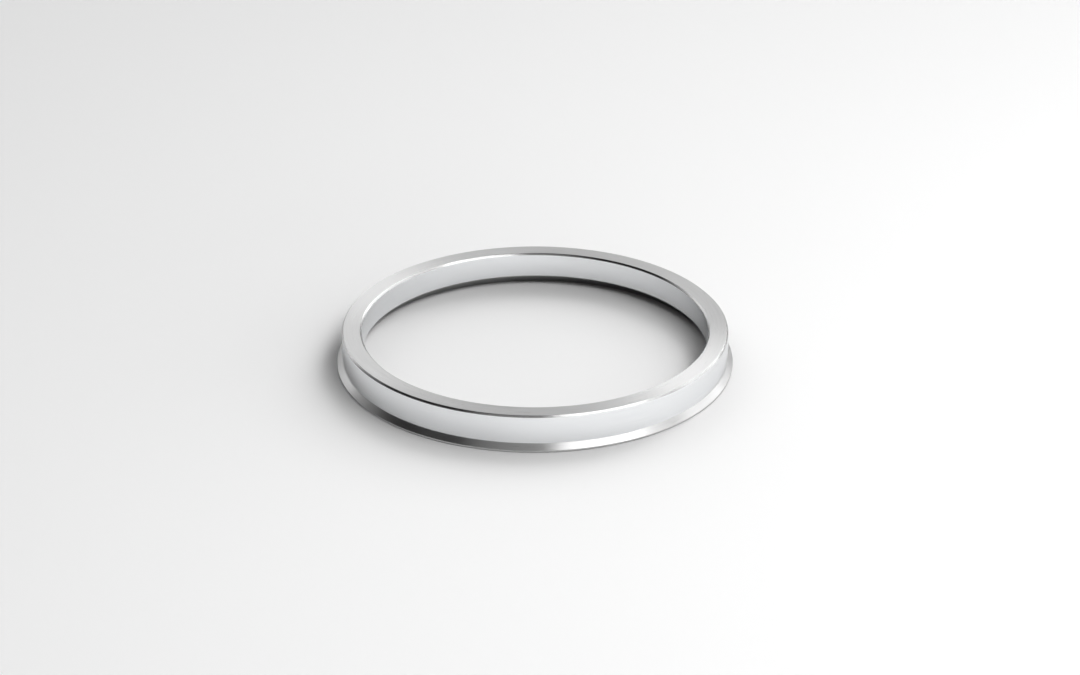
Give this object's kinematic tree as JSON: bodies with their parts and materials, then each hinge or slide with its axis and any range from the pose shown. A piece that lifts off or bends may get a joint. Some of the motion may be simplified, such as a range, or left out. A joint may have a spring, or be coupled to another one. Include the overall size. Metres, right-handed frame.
{
  "type": "hub centric ring",
  "caption": "Flat turned ring with a tapered lip at its foot, which centres a wheel's large centre bore on a smaller hub pilot.",
  "frame": {"origin": "centre of the foot, the flat face of the lip that lies against the hub", "axes": "+Z along the ring's axis, from the lip towards the wheel's side"},
  "size_m": [0.109, 0.109, 0.01],
  "materials": {
    "turned_aluminium": "satin, lathe turned"
  },
  "bodies": {
    "root": {"hub_ring": "turned_aluminium"}
  },
  "joints": []
}
